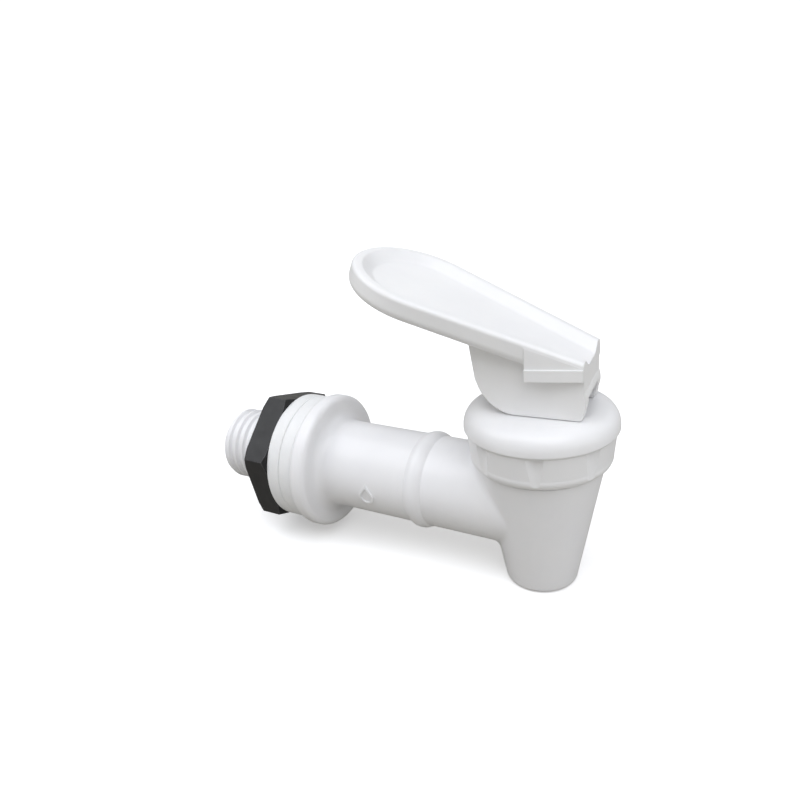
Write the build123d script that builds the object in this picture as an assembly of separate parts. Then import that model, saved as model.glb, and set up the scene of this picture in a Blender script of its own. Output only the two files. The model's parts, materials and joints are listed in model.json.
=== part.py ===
"""Lift-lever tap of a countertop water dispenser.

X runs along the shank and tube, towards the spout.  Z is up.  The origin is the centre of the
flange's back face, where the tap clamps on the dispenser's wall.  Sizes are in millimetres.
"""

from build123d import *
from math import asin, atan, cos, hypot, pi, radians, sin, sqrt, tan
import os

# ---- shank, thread and flange -------------------------------------------------------------
thread_radius = 8.0
thread_root_radius = 7.4
thread_pitch = 2.0
thread_start = -23.05
thread_end = -4.4
thread_clearance = 0.12
thread_sunk = 0.3
shank_end = -24.0
end_chamfer = 0.5
lead_in_length = 1.0
lead_in_drop = 0.1
shoulder_radius = 7.9
shank_bore_radius = 5.8
shank_bore_depth = 18.0
flange_radius = 14.6
flange_thickness = 3.8
flange_edge_round = 1.2
flange_root_round = 2.2

# ---- gaskets and jam nut ------------------------------------------------------------------
gasket_radius = 13.7
gasket_bore_radius = 8.25
gasket_thickness = 3.1
gasket_edge = 0.35
nut_across_flats = 26.0
nut_thickness = 5.5
nut_turned = 17.0
nut_gap = 0.05
nut_corner_bevel = 0.55
nut_face_margin = 0.9
nut_countersink = 1.0

# ---- tube and spout -----------------------------------------------------------------------
tube_radius = 9.4
tube_bore_radius = 5.4
tube_bore_stop = 0.4
envelope_margin = 0.05
bead_position = 26.8
bead_height = 0.75
bead_width = 3.8
spout_position = 50.7
outlet_level = -16.7
outlet_radius = 6.9
outlet_bore_radius = 5.0
outlet_bore_length = 8.6
outlet_rim_round = 1.1
cone_slope = 0.196
cone_top = 13.0
neck_level = 9.05
spout_blend = 2.0
neck_top = 15.0
neck_radius = 10.35
neck_thread_radius = 11.1
neck_thread_start = 10.4
neck_thread_end = 13.8
chamber_floor = -6.5
chamber_radius = 8.2
seat_radius = 3.8
seat_lip_width = 1.1
seat_level = -5.3
spout_wall = 1.9

# ---- drop mark on the tube ----------------------------------------------------------------
mark_position = 16.0
mark_turned = 7.0
mark_level = -0.6
mark_radius = 1.75
mark_tip_share = 1.75
mark_line = 0.55
mark_relief = 0.3

# ---- bonnet cap ---------------------------------------------------------------------------
lid_top = 20.8
lid_radius = 14.45
lid_underside = 16.2
lid_crown = 4.4
lid_edge_drop = 3.9
lid_lip = 0.4
lid_lip_bevel = 0.3
skirt_bottom = 9.2
skirt_top_radius = 13.95
skirt_bottom_radius = 13.4
skirt_toe = 2.2
skirt_toe_inset = 1.4
cap_ceiling = 16.3
spring_recess_radius = 5.3
spring_recess_top = 18.3
flute_count = 8
flute_radius = 2.3
flute_depth = 0.75
flute_first_angle = -74.5

# ---- valve --------------------------------------------------------------------------------
stem_radius = 2.4
stem_clearance = 0.06
collar_radius = 4.5
collar_bottom = -0.9
collar_top = 0.6
button_radius = 2.8
button_neck_radius = 1.7
button_bottom = -4.1
button_top = -3.0
button_clearance = 0.05
cup_radius = 5.8
cup_wall = 0.9
cup_rim_radius = 10.3
cup_floor = -1.0
washer_radius = 4.9
washer_thickness = 0.8
washer_clearance = 0.15
seating_gap = 0.05
spring_wire = 0.8
spring_mean_radius = 3.75
spring_pitch = 2.4

# ---- lever --------------------------------------------------------------------------------
lever_swing = 6.0
pin_radius = 1.25
pin_height = 6.0
cam_rise = 2.9
cam_gap = 0.15
cheek_outer = 6.8
cheek_inner = 4.2
cheek_front = 9.2
cheek_bulge = 0.35
bulge_top = -0.9
bulge_bottom = -4.6
cheek_toe = 0.9
cheek_lean_turn = 82.0
head_radius = 3.1
head_half_width = 3.9
paddle_slope = 21.3
paddle_front_level = 31.7
paddle_front_half_width = 7.2
paddle_tip_radius = 13.35
paddle_tip_distance = 33.4
paddle_depth = 4.25
paddle_overrun = 3.0
paddle_foot_round = 1.6
dish_depth = 1.5
dish_slope = 2.2
dish_round = 1.2
rim_width = 1.9
rim_round = 0.8
block_back = -0.6
block_bottom = 28.5
strip_top = 30.7
strip_proud = 0.3
slot_back = -8.6
slot_front = 7.4
slot_front_foot = -2.4
slot_roof = 1.5
pin_blind_depth = 1.8

pin_level = lid_top + cam_gap + pin_height
spout_axis = Axis((spout_position, 0, 0), (0, 0, 1))


def along_x(points):
    """Solid of revolution about the shank's axis from (x, radius) points."""
    outline = make_face(Plane.XY * Polyline(*points, close=True))
    return revolve(outline, Axis.X)


def about_spout(points):
    """Solid of revolution about the spout's axis from (radius, level) points."""
    corners = [(spout_position + radius, level) for radius, level in points]
    outline = make_face(Plane.XZ * Polyline(*corners, close=True))
    return revolve(outline, spout_axis)


def spout_cylinder(radius, bottom, top):
    """Upright cylinder on the spout's axis between two levels."""
    return Pos(spout_position, 0, bottom) * extrude(Circle(radius), top - bottom)


def shank_cylinder(radius, start, end):
    """Cylinder on the shank's axis between two distances."""
    return Plane((start, 0, 0), z_dir=(1, 0, 0)) * extrude(Circle(radius), end - start)


def thread_ridge(root, crest, length):
    """One helical ridge about +Z from level 0, sunk a little into the core it stands on."""
    base_share = 0.38
    crest_share = 0.16
    path = Helix(thread_pitch, length, root)
    half_base = base_share * thread_pitch
    half_crest = crest_share * thread_pitch
    section = Plane(path @ 0, x_dir=(1, 0, 0), z_dir=path % 0) * make_face(
        Polyline(
            (-thread_sunk, half_base + thread_sunk / 2),
            (crest - root, half_crest),
            (crest - root, -half_crest),
            (-thread_sunk, -half_base - thread_sunk / 2),
            close=True,
        )
    )
    return sweep(section, path, is_frenet=True)


def shank_thread(growth):
    """The shank's thread, grown by a clearance for cutting the nut."""
    length = thread_end - thread_start
    ridge = thread_ridge(thread_root_radius + growth, thread_radius + growth, length)
    return Plane((thread_start, 0, 0), x_dir=(0, 1, 0), z_dir=(1, 0, 0)) * ridge


def neck_thread(growth, turns_below):
    """The neck's thread, or the matching groove in the cap, begun some whole turns lower."""
    start = neck_thread_start - turns_below * thread_pitch
    ridge = thread_ridge(neck_radius + growth, neck_thread_radius + growth, neck_thread_end - start)
    return Pos(spout_position, 0, start) * ridge


def cone_radius(level):
    """Outer radius of the spout's cone at a level."""
    return outlet_radius + cone_slope * (level - outlet_level)


def drop_face(radius):
    """Water drop: a circle with two straight flanks that run tangent to its tip."""
    tip = mark_tip_share * radius
    rise = radius / mark_tip_share
    half = radius * sqrt(1 - 1 / mark_tip_share**2)
    return Circle(radius) + make_face(Polyline((0, tip), (half, rise), (-half, rise), close=True))


def drop_mark():
    """Plain raised outline of a water drop, wrapped on the tube's near side."""
    face_on = Plane((mark_position, 0, mark_level), x_dir=(1, 0, 0), z_dir=(0, -1, 0))
    outline = drop_face(mark_radius) - drop_face(mark_radius - mark_line)
    prism = face_on * extrude(outline, 2 * tube_radius)
    start = mark_position - 2 * mark_radius
    end = mark_position + 2 * mark_radius
    skin = shank_cylinder(tube_radius + mark_relief, start, end)
    skin -= shank_cylinder(tube_radius - mark_relief, start, end)
    return prism.rotate(Axis.X, mark_turned) & skin


def circles_of(shape, radius):
    """Circular edges of one radius, in order along X."""
    circles = shape.edges().filter_by(GeomType.CIRCLE)
    return circles.filter_by(lambda edge: abs(edge.radius - radius) < 0.01).sort_by(Axis.X)


def threaded_tube():
    """Shank core, flange and tube as one turned shape, with the moulded bead round the tube."""
    core = along_x(
        [
            (shank_end, 0),
            (shank_end, thread_root_radius - end_chamfer),
            (shank_end + end_chamfer, thread_root_radius),
            (thread_end, thread_root_radius),
            (thread_end + shoulder_radius - thread_root_radius, shoulder_radius),
            (0, shoulder_radius),
            (0, flange_radius),
            (flange_thickness, flange_radius),
            (flange_thickness, tube_radius),
            (spout_position, tube_radius),
            (spout_position, 0),
        ]
    )
    core = fillet(circles_of(core, flange_radius), flange_edge_round)
    core = fillet(circles_of(core, tube_radius)[0], flange_root_round)
    bead_round = ((bead_width / 2) ** 2 + bead_height**2) / (2 * bead_height)
    bead_circle = Pos(bead_position, tube_radius + bead_height - bead_round) * Circle(bead_round)
    return core + revolve(bead_circle, Axis.X)


def spout_cone():
    """Tapered spout with a rounded outlet rim, taller than its neck so that the tube blends in."""
    cone = about_spout(
        [
            (0, outlet_level),
            (outlet_radius, outlet_level),
            (cone_radius(cone_top), cone_top),
            (0, cone_top),
        ]
    )
    low_rim = cone.edges().filter_by(GeomType.CIRCLE).sort_by(Axis.Z)[0]
    return fillet(low_rim, outlet_rim_round)


def faucet_body():
    """Shank, flange, tube and spout in one moulding, with its waterway and valve seat."""
    core = threaded_tube()
    cone = spout_cone()
    body = core + cone
    body = fillet(new_edges(core, cone, combined=body), spout_blend)
    body -= spout_cylinder(skirt_bottom_radius, neck_level, neck_top)
    body += spout_cylinder(neck_radius, neck_level - 1, neck_top)
    body -= shank_cylinder(shank_bore_radius, shank_end - 1, shank_end + shank_bore_depth)
    tube_bore_end = spout_position - seat_radius - seat_lip_width - tube_bore_stop
    body -= shank_cylinder(tube_bore_radius, shank_end, tube_bore_end)
    body -= valve_chamber()
    lead_in = along_x(
        [
            (shank_end, 0),
            (shank_end, thread_root_radius - lead_in_drop),
            (shank_end + lead_in_length, thread_radius + envelope_margin),
            (thread_end + thread_pitch, thread_radius + envelope_margin),
            (thread_end + thread_pitch, 0),
        ]
    )
    body += shank_thread(0) & lead_in
    body += neck_thread(0, 0)
    return body + drop_mark()


def valve_chamber():
    """Hollow of the spout: chamber, raised seat lip, throat and outlet bore."""
    chamber = about_spout(
        [
            (0, chamber_floor),
            (cone_radius(chamber_floor) - spout_wall, chamber_floor),
            (chamber_radius, 1.5),
            (chamber_radius, neck_top + 1),
            (0, neck_top + 1),
        ]
    )
    lip = spout_cylinder(seat_radius + seat_lip_width, chamber_floor, seat_level)
    throat = spout_cylinder(seat_radius, outlet_level, seat_level)
    outlet = spout_cylinder(outlet_bore_radius, outlet_level - 1, outlet_level + outlet_bore_length)
    return chamber - lip + throat + outlet


def gasket(back):
    """Soft ring on the shank, with its faces rubbed round at the outer edge."""
    ring = shank_cylinder(gasket_radius, back, back + gasket_thickness)
    ring = fillet(ring.edges().filter_by(GeomType.CIRCLE), gasket_edge)
    return ring - shank_cylinder(gasket_bore_radius, back - 1, back + gasket_thickness + 1)


def jam_nut():
    """Hexagonal nut with both faces chamfered at the corners, threaded to run on the shank."""
    front = -2 * gasket_thickness - nut_gap
    back = front - nut_thickness
    corner = nut_across_flats / 2 / cos(pi / 6)
    hexagon = RegularPolygon(corner, 6, major_radius=True, rotation=180 - nut_turned)
    prism = Plane((back, 0, 0), x_dir=(0, 1, 0), z_dir=(1, 0, 0)) * extrude(hexagon, nut_thickness)
    face_radius = nut_across_flats / 2 + nut_face_margin
    envelope = along_x(
        [
            (back, 0),
            (back, face_radius),
            (back + nut_corner_bevel, corner + envelope_margin),
            (front - nut_corner_bevel, corner + envelope_margin),
            (front, face_radius),
            (front, 0),
        ]
    )
    nut = prism & envelope
    nut -= shank_cylinder(thread_root_radius + thread_clearance, back - 1, front + 1)
    for face, inwards in ((back, 1), (front, -1)):
        nut -= along_x(
            [
                (face, 0),
                (face, thread_root_radius + nut_countersink),
                (face + inwards * nut_countersink, thread_root_radius),
                (face + inwards * nut_countersink, 0),
            ]
        )
    return nut - shank_thread(thread_clearance)


def bonnet_cap():
    """Screw cap over the valve: rounded lid, drafted skirt with grip flutes, stem hole."""
    toe_radius = skirt_bottom_radius - skirt_toe_inset
    toe_start = (skirt_bottom_radius, skirt_bottom + skirt_toe)
    toe_middle = (skirt_bottom_radius - 0.3 * skirt_toe_inset, skirt_bottom + 0.3 * skirt_toe)
    profile = Curve() + [
        Line((0, lid_top), (lid_radius - lid_crown, lid_top)),
        Bezier(
            (lid_radius - lid_crown, lid_top),
            (lid_radius - 0.3 * lid_crown, lid_top),
            (lid_radius, lid_top - 0.4 * lid_edge_drop),
            (lid_radius, lid_top - lid_edge_drop),
        ),
        Polyline(
            (lid_radius, lid_top - lid_edge_drop),
            (lid_radius, lid_underside + lid_lip),
            (lid_radius - lid_lip_bevel, lid_underside),
            (skirt_top_radius, lid_underside),
            toe_start,
        ),
        ThreePointArc(toe_start, toe_middle, (toe_radius, skirt_bottom)),
        Polyline((toe_radius, skirt_bottom), (0, skirt_bottom), (0, lid_top)),
    ]
    outline = Plane.XZ * (Pos(spout_position, 0) * make_face(profile))
    cap = revolve(outline, spout_axis)
    reach = skirt_top_radius - flute_depth + flute_radius
    groove = Pos(spout_position + reach, 0, 0) * extrude(Circle(flute_radius), lid_underside)
    for number in range(flute_count):
        cap -= groove.rotate(spout_axis, flute_first_angle + number * 360 / flute_count)
    cap -= spout_cylinder(neck_radius + thread_clearance, skirt_bottom - 1, cap_ceiling)
    cap -= spout_cylinder(spring_recess_radius, cap_ceiling - 1, spring_recess_top)
    cap -= spout_cylinder(stem_radius + stem_clearance, cap_ceiling, lid_top + 1)
    return cap - neck_thread(thread_clearance, 1)


def seat_cup():
    """Soft cup that closes the seat: plug, thin sleeve and the rim clamped under the cap."""
    inner = cup_radius - cup_wall
    plug_bevel = 0.6
    bell = 2.0
    cup = about_spout(
        [
            (0, seat_level),
            (cup_radius - plug_bevel, seat_level),
            (cup_radius, seat_level + plug_bevel),
            (cup_radius, neck_top - bell),
            (cup_radius + bell, neck_top),
            (cup_rim_radius, neck_top),
            (cup_rim_radius, cap_ceiling),
            (inner + bell, cap_ceiling),
            (inner + bell, neck_top + 0.2),
            (inner, neck_top + 0.2 - bell),
            (inner, cup_floor),
            (0, cup_floor),
        ]
    )
    cup -= spout_cylinder(button_neck_radius + button_clearance, button_top, cup_floor)
    bottom = button_bottom - button_clearance
    return cup - spout_cylinder(button_radius + button_clearance, bottom, button_top + button_clearance)


def valve_stem():
    """Stem that hangs from the pivot pin: eye, shaft, spring collar and the cup's button."""
    stem = spout_cylinder(stem_radius, collar_top, pin_level - pin_radius - stem_clearance)
    stem += spout_cylinder(collar_radius, collar_bottom, collar_top)
    stem += spout_cylinder(button_neck_radius, button_top, collar_bottom)
    stem += spout_cylinder(button_radius, button_bottom, button_top)
    across = Plane((spout_position, head_half_width, pin_level), z_dir=(0, -1, 0))
    stem += across * extrude(Circle(head_radius), 2 * head_half_width)
    return stem - across * extrude(Circle(pin_radius + stem_clearance), 2 * head_half_width)


def spring_washer():
    """Slip washer between the spring and the cap, which lets the stem swivel."""
    top = spring_recess_top - seating_gap
    ring = spout_cylinder(washer_radius, top - washer_thickness, top)
    return ring - spout_cylinder(stem_radius + washer_clearance, top - washer_thickness, top)


def return_spring():
    """Compression spring round the stem, with both ends ground flat."""
    bottom = collar_top + seating_gap
    top = spring_recess_top - seating_gap - washer_thickness
    path = Helix(spring_pitch, top - bottom, spring_mean_radius)
    coil = sweep(Plane(path @ 0, z_dir=path % 0) * Circle(spring_wire / 2), path, is_frenet=True)
    envelope = spout_cylinder(spring_mean_radius + spring_wire, bottom, top)
    return (Pos(spout_position, 0, bottom) * coil) & envelope


def cam_outline():
    """Side view of a cheek about the pin: its lowest point falls evenly as the lever turns."""

    def cam_point(turn):
        reach = pin_height + cam_rise * turn
        return (
            -reach * sin(turn) - cam_rise * cos(turn),
            -reach * cos(turn) + cam_rise * sin(turn),
        )

    steps = 9
    last_turn = radians(cheek_lean_turn)
    end = cam_point(last_turn)
    curve = Spline(
        *[cam_point(last_turn * step / steps) for step in range(steps + 1)],
        tangents=((-1, 0), (-cos(last_turn), sin(last_turn))),
    )
    roof = 12.0
    back_top = (end[0] - (roof - end[1]) / tan(last_turn), roof)
    middle = (bulge_top + bulge_bottom) / 2
    toe_start = (cheek_front, cheek_toe - pin_height)
    toe_middle = (cheek_front - 0.3 * cheek_toe, 0.3 * cheek_toe - pin_height)
    toe_end = (cheek_front - cheek_toe, -pin_height)
    return make_face(
        Curve()
        + [
            curve,
            Polyline(end, back_top, (cheek_front, roof), (cheek_front, bulge_top)),
            ThreePointArc(
                (cheek_front, bulge_top),
                (cheek_front + cheek_bulge, middle),
                (cheek_front, bulge_bottom),
            ),
            Line((cheek_front, bulge_bottom), toe_start),
            ThreePointArc(toe_start, toe_middle, toe_end),
            Line(toe_end, cam_point(0)),
        ]
    )


def paddle_plane(depth=0.0):
    """Plane of the paddle's rim, or one below it; its X runs from the hub to the tip."""
    slope = radians(paddle_slope)
    x_dir = (-cos(slope), 0, sin(slope))
    z_dir = (sin(slope), 0, cos(slope))
    origin = Vector(cheek_front, 0, paddle_front_level) - Vector(*z_dir) * depth
    return Plane(origin, x_dir=x_dir, z_dir=z_dir)


def flank_lean():
    """Angle between the paddle's centre line and its straight flanks."""
    reach = hypot(paddle_tip_distance, paddle_front_half_width)
    return asin(paddle_tip_radius / reach) - atan(paddle_front_half_width / paddle_tip_distance)


def teardrop(inset, front):
    """Paddle outline: straight flanks that run tangent into a round tip."""
    lean = flank_lean()
    tip = paddle_tip_radius - inset
    touch = Vector(paddle_tip_distance - tip * sin(lean), tip * cos(lean))
    front_half = touch.Y - (touch.X - front) * tan(lean)
    return make_face(
        Curve()
        + [
            Line((front, front_half), (touch.X, touch.Y)),
            ThreePointArc((touch.X, touch.Y), (paddle_tip_distance + tip, 0), (touch.X, -touch.Y)),
            Line((touch.X, -touch.Y), (front, -front_half)),
            Line((front, -front_half), (front, front_half)),
        ]
    )


def paddle_edges(shape, depth):
    """Long edges of a paddle shape that lie at one depth below the rim's plane, off its front."""
    plane = paddle_plane(depth)
    shortest = 5.0
    tolerance = 0.02
    edges = [edge for edge in shape.edges() if edge.length > shortest]
    edges = [edge for edge in edges if edge.center().X < cheek_front]
    return [edge for edge in edges if abs(plane.to_local_coords(edge.center()).Z) < tolerance]


def dish():
    """Hollow of the paddle: sloping sides down to a flat floor, open past the hub."""
    floor = paddle_plane(dish_depth) * teardrop(rim_width + dish_slope, -2 * paddle_overrun)
    brim = paddle_plane(0) * teardrop(rim_width, -2 * paddle_overrun)
    above = paddle_plane(0) * extrude(teardrop(rim_width, -2 * paddle_overrun), 1)
    return loft([floor, brim], ruled=True) + above


def paddle():
    """Thumb paddle: a teardrop plate with a raised round rim, open at the hub."""
    plate = paddle_plane(paddle_depth) * extrude(teardrop(0, -paddle_overrun), paddle_depth)
    plate = fillet(paddle_edges(plate, paddle_depth), paddle_foot_round)
    plate -= dish()
    plate = fillet(paddle_edges(plate, dish_depth), dish_round)
    return fillet(paddle_edges(plate, 0), rim_round)


def below_rim(shape, depth):
    """The part of a shape that lies under the paddle's plane at a depth below the rim."""
    return shape - paddle_plane(depth) * extrude(Rectangle(400, 400), 100)


def hub_block():
    """Side walls that thicken the hub beside the slot, with a raised strip along the foot."""
    gain = tan(flank_lean()) / cos(radians(paddle_slope))
    back_half = paddle_front_half_width + gain * (cheek_front - block_back)

    def wall(proud, bottom, top):
        outline = make_face(
            Polyline(
                (cheek_front, paddle_front_half_width + proud),
                (block_back, back_half + proud),
                (block_back, -back_half - proud),
                (cheek_front, -paddle_front_half_width - proud),
                close=True,
            )
        )
        return Pos(0, 0, bottom) * extrude(outline, top - bottom)

    high = paddle_front_level + tan(radians(paddle_slope)) * (cheek_front - block_back)
    return wall(0, block_bottom, high) + wall(strip_proud, block_bottom, strip_top)


def lever_handle():
    """Lever in one moulding: paddle, hub block and two cam cheeks with a slot for the stem."""
    upright = Plane((0, cheek_outer, pin_level), x_dir=(1, 0, 0), z_dir=(0, -1, 0))
    cheeks = upright * extrude(cam_outline(), 2 * cheek_outer)
    foot = below_rim(cheeks + hub_block(), rim_round) - dish()
    ample = 40
    slot_length = slot_front - slot_back
    slot = Pos(slot_back + slot_length / 2, 0, pin_level) * Box(slot_length, 2 * cheek_inner, ample)
    gap_centre = pin_level + slot_front_foot - ample / 2
    front_gap = Pos(ample / 2, 0, gap_centre) * Box(ample, 2 * cheek_inner, ample)
    slot = below_rim(slot, dish_depth + slot_roof) + front_gap
    ahead_centre = pin_level + bulge_top + ample / 2
    ahead = Pos(cheek_front + ample / 2, 0, ahead_centre) * Box(ample, ample, ample)
    return foot + paddle() - ahead - slot - pivot_pin()


def pivot_pin():
    """Pin across the cheeks, blind on the near side."""
    start = Plane((0, cheek_outer, pin_level), z_dir=(0, -1, 0))
    return start * extrude(Circle(pin_radius), cheek_outer + cheek_inner + pin_blind_depth)


def swing(shape):
    """Move a shape from the lever's own axes to the spout, turned as the lever stands."""
    return Pos(spout_position, 0, 0) * (Rot(0, 0, lever_swing) * shape)


parts = {
    "faucet_body": faucet_body(),
    "outer_gasket": gasket(-gasket_thickness),
    "inner_gasket": gasket(-2 * gasket_thickness),
    "jam_nut": jam_nut(),
    "bonnet_cap": bonnet_cap(),
    "seat_cup": seat_cup(),
    "valve_stem": valve_stem().rotate(spout_axis, lever_swing),
    "spring_washer": spring_washer(),
    "return_spring": return_spring(),
    "lever_handle": swing(lever_handle()),
    "pivot_pin": swing(pivot_pin()),
}

os.makedirs("parts", exist_ok=True)
for node, shape in parts.items():
    export_step(shape, f"parts/{node}.step")
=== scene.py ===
import json
from math import cos, radians, sin

import bpy
from mathutils import Matrix, Vector

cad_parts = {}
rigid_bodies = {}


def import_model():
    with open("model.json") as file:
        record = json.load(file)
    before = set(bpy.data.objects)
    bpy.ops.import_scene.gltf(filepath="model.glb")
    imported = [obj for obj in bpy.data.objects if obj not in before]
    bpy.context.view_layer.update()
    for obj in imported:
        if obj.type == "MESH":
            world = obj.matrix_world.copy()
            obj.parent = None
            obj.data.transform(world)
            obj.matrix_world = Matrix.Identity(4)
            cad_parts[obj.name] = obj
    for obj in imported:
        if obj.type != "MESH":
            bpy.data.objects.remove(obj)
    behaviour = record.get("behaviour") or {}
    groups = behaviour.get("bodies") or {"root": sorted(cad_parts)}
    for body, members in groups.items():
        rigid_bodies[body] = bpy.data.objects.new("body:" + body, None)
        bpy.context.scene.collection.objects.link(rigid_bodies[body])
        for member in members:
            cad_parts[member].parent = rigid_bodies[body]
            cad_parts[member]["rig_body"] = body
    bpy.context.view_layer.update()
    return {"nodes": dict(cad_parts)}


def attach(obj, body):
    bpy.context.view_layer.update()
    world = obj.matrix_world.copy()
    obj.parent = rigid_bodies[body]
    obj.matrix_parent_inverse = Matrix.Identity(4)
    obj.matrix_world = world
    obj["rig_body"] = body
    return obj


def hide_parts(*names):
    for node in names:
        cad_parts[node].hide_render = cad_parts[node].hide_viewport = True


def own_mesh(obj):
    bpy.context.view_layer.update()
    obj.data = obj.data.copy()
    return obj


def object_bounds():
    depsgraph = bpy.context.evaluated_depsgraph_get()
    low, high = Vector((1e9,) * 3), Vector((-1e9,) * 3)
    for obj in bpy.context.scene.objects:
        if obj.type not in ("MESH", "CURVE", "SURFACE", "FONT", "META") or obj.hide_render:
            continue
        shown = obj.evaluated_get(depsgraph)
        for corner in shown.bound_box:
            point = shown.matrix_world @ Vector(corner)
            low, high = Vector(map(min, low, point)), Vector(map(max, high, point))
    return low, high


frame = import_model()
nodes = frame["nodes"]
MM = 0.001

# Sharp edges are shaded as if rounded by these radii, as mouldings and turned parts are.
MOULDED_EDGE = 0.25 * MM
RUBBER_EDGE = 0.2 * MM
NUT_EDGE = 0.35 * MM
STEEL_EDGE = 0.08 * MM
# Where a rounded normal leaves the flat one: cosines at which the edge mask starts and is full.
EDGE_STARTS = 0.985
EDGE_FULL = 0.86

# The roof of the seat cup's pocket, and how far the visual copy raises it for the stem's button.
POCKET_ROOF = -2.95 * MM
POCKET_ROOM = 0.22 * MM
SAME_LEVEL = 0.01 * MM

# The floor, in metres, and its distance below the lowest point of the tap.
FLOOR_SIZE = 60
FLOOR_GAP = 0.05 * MM
# The floor looks pale to the camera and throws less light back on the tap.
FLOOR_BOUNCE = (0.41, 0.395, 0.36)
FLOOR_GLOW = 0.30

# The world's strength as a light, and as the camera sees it behind the floor.
WORLD_LIGHT = 0.28
WORLD_SEEN = 1.10
# Every sun is this many degrees across, for soft shadows.
SUN_ANGLE = 50
COOL = (0.935, 0.955, 1.0)
WARM = (1.0, 0.985, 0.96)

# The camera was fitted to the outlines in the photograph.
CAMERA_PLACE = Vector((98.7, -128.6, 80.4)) * MM
CAMERA_YAW, CAMERA_PITCH, CAMERA_ROLL = radians(31.33), radians(22.82), radians(-4.70)
CAMERA_LENS = 35.95
CAMERA_SENSOR = 36.0
CAMERA_CLIP = 5 * MM


# ---- node tree helpers --------------------------------------------------------------------

class Tree:
    """Adds and links the shader nodes of one new material."""

    def __init__(self, name):
        self.material = bpy.data.materials.new(name)
        self.material.use_nodes = True
        self.tree = self.material.node_tree
        self.shader = self.tree.nodes["Principled BSDF"]
        self.place = self.add("ShaderNodeTexCoord").outputs["Object"]

    def add(self, kind, **settings):
        node = self.tree.nodes.new(kind)
        for key, value in settings.items():
            setattr(node, key, value)
        return node

    def link(self, source, target):
        self.tree.links.new(source, target)

    def set(self, **values):
        """Sets the shader's own sockets; an underscore stands for a space."""
        for key, value in values.items():
            self.shader.inputs[key.replace("_", " ")].default_value = value

    def stretched(self, scale):
        """The object's coordinates, scaled per axis so that a texture runs along one of them."""
        mapping = self.add("ShaderNodeMapping")
        self.link(self.place, mapping.inputs["Vector"])
        mapping.inputs["Scale"].default_value = scale
        return mapping.outputs["Vector"]

    def noise(self, size, detail=3.0, rough=0.55, where=None):
        """Fractal noise whose features are about `size` metres across."""
        node = self.add("ShaderNodeTexNoise")
        self.link(where or self.place, node.inputs["Vector"])
        node.inputs["Scale"].default_value = 1.0 / size
        node.inputs["Detail"].default_value = detail
        node.inputs["Roughness"].default_value = rough
        return node.outputs["Fac"]

    def spread(self, source, low, high, floor=0.0, ceiling=1.0):
        """Maps low..high of a value to floor..ceiling, clamped."""
        node = self.add("ShaderNodeMapRange")
        self.link(source, node.inputs["Value"])
        node.inputs["From Min"].default_value = low
        node.inputs["From Max"].default_value = high
        node.inputs["To Min"].default_value = floor
        node.inputs["To Max"].default_value = ceiling
        return node.outputs["Result"]

    def math(self, operation, a, b):
        """Adds a sum on two values; each is a number or another node's output."""
        node = self.add("ShaderNodeMath", operation=operation)
        for socket, value in zip(node.inputs, (a, b)):
            if isinstance(value, (int, float)):
                socket.default_value = value
            else:
                self.link(value, socket)
        return node.outputs[0]

    def mix(self, amount, first, second):
        """Mixes two colours; each is an (r, g, b) or another node's output."""
        node = self.add("ShaderNodeMix", data_type="RGBA")
        self.link(amount, node.inputs["Factor"])
        # Sockets 6 and 7 are the colours A and B, and output 2 is the colour.
        for socket, value in ((node.inputs[6], first), (node.inputs[7], second)):
            if isinstance(value, tuple):
                socket.default_value = (*value, 1.0)
            else:
                self.link(value, socket)
        return node.outputs[2]

    def rounded(self, radius):
        """Normals rounded over sharp edges, and a mask that is 1 along them."""
        bevel = self.add("ShaderNodeBevel", samples=6)
        bevel.inputs["Radius"].default_value = radius
        flat = self.add("ShaderNodeNewGeometry").outputs["Normal"]
        dot = self.add("ShaderNodeVectorMath", operation="DOT_PRODUCT")
        self.link(bevel.outputs["Normal"], dot.inputs[0])
        self.link(flat, dot.inputs[1])
        mask = self.spread(dot.outputs["Value"], EDGE_STARTS, EDGE_FULL)
        return bevel.outputs["Normal"], mask

    def bumps(self, layers, normal):
        """Stacks (height source, depth in metres) bumps on a normal and feeds the shader."""
        for source, depth in layers:
            bump = self.add("ShaderNodeBump")
            bump.inputs["Strength"].default_value = 1.0
            bump.inputs["Distance"].default_value = depth
            self.link(source, bump.inputs["Height"])
            self.link(normal, bump.inputs["Normal"])
            normal = bump.outputs["Normal"]
        self.link(normal, self.shader.inputs["Normal"])


# ---- materials ----------------------------------------------------------------------------

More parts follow.
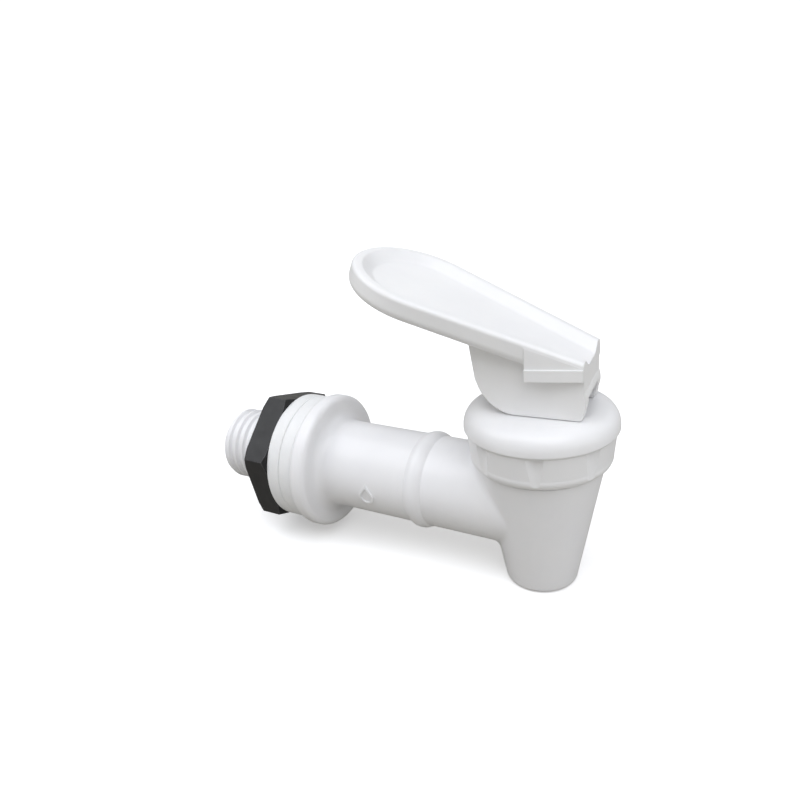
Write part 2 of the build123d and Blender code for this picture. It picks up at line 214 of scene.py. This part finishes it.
def moulded_white(name, base, shade, gloss, grain_depth):
    """Satin moulded plastic: cloudy flow tone, faint dust in the grain, a painted highlight
    along the edges.
    """
    t = Tree(name)
    normal, edge = t.rounded(MOULDED_EDGE)

    long_way = t.stretched((1, 1, 0.55))
    flow = t.spread(t.noise(11 * MM, detail=4, rough=0.6, where=long_way), 0.35, 0.68)
    colour = t.mix(flow, base, shade)
    speck = t.spread(t.noise(0.3 * MM, detail=2), 0.66, 0.84)
    dusty = tuple(0.9 * c for c in shade)
    colour = t.mix(t.math("MULTIPLY", speck, 0.06), colour, dusty)
    # Painted highlight: sharp edges are painted a lighter white.
    lighter = tuple(min(1.0, 1.03 * c) for c in base)
    colour = t.mix(t.math("MULTIPLY", edge, 0.6), colour, lighter)
    t.link(colour, t.shader.inputs["Base Color"])

    smooth, dull = gloss - 0.02, gloss + 0.03
    smudge = t.spread(t.noise(6 * MM, detail=5, rough=0.7), 0.3, 0.72, smooth, dull)
    polish = t.math("MULTIPLY", edge, 0.04)
    t.link(t.math("SUBTRACT", smudge, polish), t.shader.inputs["Roughness"])

    t.set(IOR=1.49, Subsurface_Weight=0.06, Subsurface_Scale=0.5 * MM)
    t.shader.inputs["Subsurface Radius"].default_value = (1.0, 0.9, 0.8)
    grain = t.noise(0.35 * MM, detail=3, rough=0.6)
    sink = t.noise(5 * MM, detail=2)
    t.bumps([(grain, grain_depth), (sink, 12 * grain_depth)], normal)
    return t.material


def milky_silicone(name, base, shade):
    """Soft translucent ring: cloudy body, powdery bloom, fine turned lines."""
    t = Tree(name)
    normal, edge = t.rounded(RUBBER_EDGE)

    cloud = t.spread(t.noise(4 * MM, detail=4, rough=0.6), 0.3, 0.7)
    colour = t.mix(cloud, base, shade)
    bloom = t.spread(t.noise(0.5 * MM, detail=3), 0.58, 0.78)
    colour = t.mix(t.math("MULTIPLY", bloom, 0.35), colour, (0.93, 0.93, 0.93))
    # Painted highlight: sharp edges are painted a paler white.
    colour = t.mix(t.math("MULTIPLY", edge, 0.4), colour, (0.95, 0.96, 0.97))
    t.link(colour, t.shader.inputs["Base Color"])

    smudge = t.spread(t.noise(2.5 * MM, detail=4), 0.3, 0.7, 0.36, 0.52)
    t.link(smudge, t.shader.inputs["Roughness"])
    t.set(IOR=1.41, Subsurface_Weight=0.35, Subsurface_Scale=1.6 * MM)
    t.shader.inputs["Subsurface Radius"].default_value = (1.0, 0.95, 0.9)
    around = t.stretched((1, 0.04, 0.04))
    lines = t.noise(0.25 * MM, detail=1, rough=0.4, where=around)
    powder = t.noise(0.3 * MM, detail=3)
    t.bumps([(lines, 0.012 * MM), (powder, 0.006 * MM)], normal)
    return t.material


def satin_black(name):
    """Black nylon nut: fine moulded grain, corners painted paler as rubbed wear and as a painted
    edge highlight, faint dust.
    """
    t = Tree(name)
    normal, edge = t.rounded(NUT_EDGE)

    tone = t.spread(t.noise(5 * MM, detail=4, rough=0.6), 0.3, 0.7)
    colour = t.mix(tone, (0.004, 0.004, 0.0045), (0.008, 0.008, 0.0085))
    dust = t.spread(t.noise(0.6 * MM, detail=4, rough=0.7), 0.6, 0.8)
    colour = t.mix(t.math("MULTIPLY", dust, 0.25), colour, (0.055, 0.055, 0.058))
    patchy = t.spread(t.noise(1.5 * MM, detail=4, rough=0.7), 0.35, 0.65, 0.35, 1.0)
    # Corners painted paler: partly rubbed wear, partly a painted edge highlight.
    wear_and_edge_highlight = t.math("MULTIPLY", edge, patchy)
    t.link(t.mix(wear_and_edge_highlight, colour, (0.14, 0.14, 0.15)), t.shader.inputs["Base Color"])

    smudge = t.spread(t.noise(2 * MM, detail=4), 0.3, 0.7, 0.30, 0.42)
    t.link(smudge, t.shader.inputs["Roughness"])
    t.set(IOR=1.5, Specular_IOR_Level=0.36)
    grain = t.noise(0.25 * MM, detail=3, rough=0.6)
    sink = t.noise(3 * MM, detail=2)
    t.bumps([(grain, 0.012 * MM), (sink, 0.03 * MM)], normal)
    return t.material


def drawn_steel(name, stretch):
    """Bright stainless steel with fine drawing lines along one axis."""
    t = Tree(name)
    normal, edge = t.rounded(STEEL_EDGE)
    lines = t.noise(0.12 * MM, detail=3, rough=0.6, where=t.stretched(stretch))
    tone = t.spread(lines, 0.3, 0.7)
    colour = t.mix(tone, (0.60, 0.60, 0.61), (0.68, 0.68, 0.69))
    # Painted highlight: sharp edges are painted a brighter steel, as a glint.
    colour = t.mix(t.math("MULTIPLY", edge, 0.5), colour, (0.78, 0.78, 0.79))
    t.link(colour, t.shader.inputs["Base Color"])
    t.link(t.spread(lines, 0.2, 0.8, 0.18, 0.34), t.shader.inputs["Roughness"])
    t.set(Metallic=1.0)
    t.bumps([(lines, 0.004 * MM)], normal)
    return t.material


# Moulded white and silicone take a lighter and a darker tone. Moulded white also takes its
# roughness and the depth of its grain, and steel the scale that draws its lines out.
looks = {
    "faucet_body": moulded_white(
        "body_plastic", (0.845, 0.845, 0.855), (0.815, 0.815, 0.83), 0.30, 0.006 * MM
    ),
    "bonnet_cap": moulded_white(
        "cap_plastic", (0.84, 0.84, 0.845), (0.81, 0.81, 0.82), 0.33, 0.007 * MM
    ),
    "lever_handle": moulded_white(
        "lever_plastic", (0.85, 0.85, 0.85), (0.82, 0.82, 0.825), 0.31, 0.005 * MM
    ),
    "valve_stem": moulded_white(
        "stem_plastic", (0.80, 0.80, 0.78), (0.77, 0.77, 0.75), 0.26, 0.004 * MM
    ),
    "spring_washer": moulded_white(
        "washer_plastic", (0.78, 0.78, 0.75), (0.74, 0.74, 0.71), 0.40, 0.006 * MM
    ),
    "outer_gasket": milky_silicone(
        "outer_gasket_silicone", (0.83, 0.835, 0.835), (0.79, 0.795, 0.80)
    ),
    "inner_gasket": milky_silicone(
        "inner_gasket_silicone", (0.82, 0.825, 0.825), (0.78, 0.785, 0.79)
    ),
    "seat_cup": milky_silicone("valve_silicone", (0.82, 0.82, 0.80), (0.78, 0.78, 0.76)),
    "jam_nut": satin_black("nut_plastic"),
    "pivot_pin": drawn_steel("pin_steel", (1, 0.05, 1)),
    "return_spring": drawn_steel("spring_steel", (0.3, 0.3, 1)),
}
for name, material in looks.items():
    mesh = nodes[name].data
    for index in range(max(1, len(mesh.materials))):
        if index < len(mesh.materials):
            mesh.materials[index] = material
        else:
            mesh.materials.append(material)


# ---- copies of the soft pieces ------------------------------------------------------------


def raised(mesh, level, rise):
    """Moves the vertices that lie at one level up by a little."""
    for vertex in mesh.vertices:
        if abs(vertex.co.z - level) < SAME_LEVEL:
            vertex.co.z += rise


def shortening(node, name, pocket_roof=None):
    """A copy of a CAD node, on the node's own body, that is shown in place of the hidden node.

    A pocket in it moves less than the stem's button does, so its roof gets some room.
    """
    piece = bpy.data.objects.new(name, nodes[node].data.copy())
    bpy.context.scene.collection.objects.link(piece)
    if pocket_roof is not None:
        raised(piece.data, pocket_roof, POCKET_ROOM)
    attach(piece, nodes[node]["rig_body"])
    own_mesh(piece)
    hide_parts(node)


shortening("return_spring", "return_spring_coil")
shortening("seat_cup", "seat_cup_sleeve", pocket_roof=POCKET_ROOF)


# ---- floor --------------------------------------------------------------------------------

low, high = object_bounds()
centre = (Vector(low) + Vector(high)) / 2
beneath = (centre.x, centre.y, low[2] - FLOOR_GAP)
bpy.ops.mesh.primitive_plane_add(size=FLOOR_SIZE, location=beneath)
floor = bpy.context.object
floor.name = "studio_floor"
paper = Tree("studio_paper")
grain = paper.spread(paper.noise(2 * MM, detail=4), 0.3, 0.7)
seen = paper.add("ShaderNodeLightPath").outputs["Is Camera Ray"]
pale = paper.mix(grain, (0.90, 0.90, 0.90), (0.91, 0.91, 0.91))
paper.link(paper.mix(seen, FLOOR_BOUNCE, pale), paper.shader.inputs["Base Color"])
paper.set(Roughness=0.9, Specular_IOR_Level=0.1)
paper.shader.inputs["Emission Color"].default_value = (1.0, 1.0, 1.0, 1.0)
paper.link(paper.math("MULTIPLY", seen, FLOOR_GLOW), paper.shader.inputs["Emission Strength"])
floor.data.materials.append(paper.material)


# ---- light --------------------------------------------------------------------------------

world = bpy.data.worlds.new("studio")
bpy.context.scene.world = world
world.use_nodes = True
sky = world.node_tree
background = sky.nodes["Background"]
background.inputs["Color"].default_value = (1.0, 1.0, 1.0, 1.0)
path = sky.nodes.new("ShaderNodeLightPath")
level = sky.nodes.new("ShaderNodeMapRange")
level.inputs["To Min"].default_value = WORLD_LIGHT
level.inputs["To Max"].default_value = WORLD_SEEN
sky.links.new(path.outputs["Is Camera Ray"], level.inputs["Value"])
sky.links.new(level.outputs["Result"], background.inputs["Strength"])


def sun(name, towards, strength, colour):
    """A broad soft light from one direction, even over the whole floor."""
    data = bpy.data.lights.new(name, "SUN")
    data.energy = strength
    data.angle = radians(SUN_ANGLE)
    data.color = colour
    light = bpy.data.objects.new(name, data)
    light.rotation_euler = Vector(towards).to_track_quat("Z", "Y").to_euler()
    bpy.context.scene.collection.objects.link(light)


sun("high_front", (0.35, -0.45, 1.0), 1.38, COOL)
sun("high_left", (-0.6, -0.3, 0.9), 1.28, COOL)
sun("back_right", (0.7, 0.7, 0.7), 0.38, COOL)
sun("camera_side", (0.5, -0.85, 0.5), 0.19, WARM)
sun("low_right", (1.0, -0.1, 0.2), 0.7, COOL)
sun("low_left", (-0.8, -0.6, 0.3), 0.2, WARM)
sun("back_left", (-0.5, 0.8, 0.7), 0.2, WARM)


# ---- camera -------------------------------------------------------------------------------

back = Vector((
    sin(CAMERA_YAW) * cos(CAMERA_PITCH),
    -cos(CAMERA_YAW) * cos(CAMERA_PITCH),
    sin(CAMERA_PITCH),
))
level_right = Vector((cos(CAMERA_YAW), sin(CAMERA_YAW), 0.0))
level_up = level_right.cross(-back)
right = cos(CAMERA_ROLL) * level_right + sin(CAMERA_ROLL) * level_up
up = cos(CAMERA_ROLL) * level_up - sin(CAMERA_ROLL) * level_right
turn = Matrix((right, up, back)).transposed().to_4x4()

camera_data = bpy.data.cameras.new("camera")
camera_data.sensor_width = CAMERA_SENSOR
camera_data.lens = CAMERA_LENS
camera_data.clip_start = CAMERA_CLIP
camera = bpy.data.objects.new("camera", camera_data)
bpy.context.scene.collection.objects.link(camera)
camera.matrix_world = Matrix.Translation(CAMERA_PLACE) @ turn
bpy.context.scene.camera = camera
bpy.context.scene.view_settings.view_transform = "Standard"
bpy.context.scene.view_settings.look = "None"
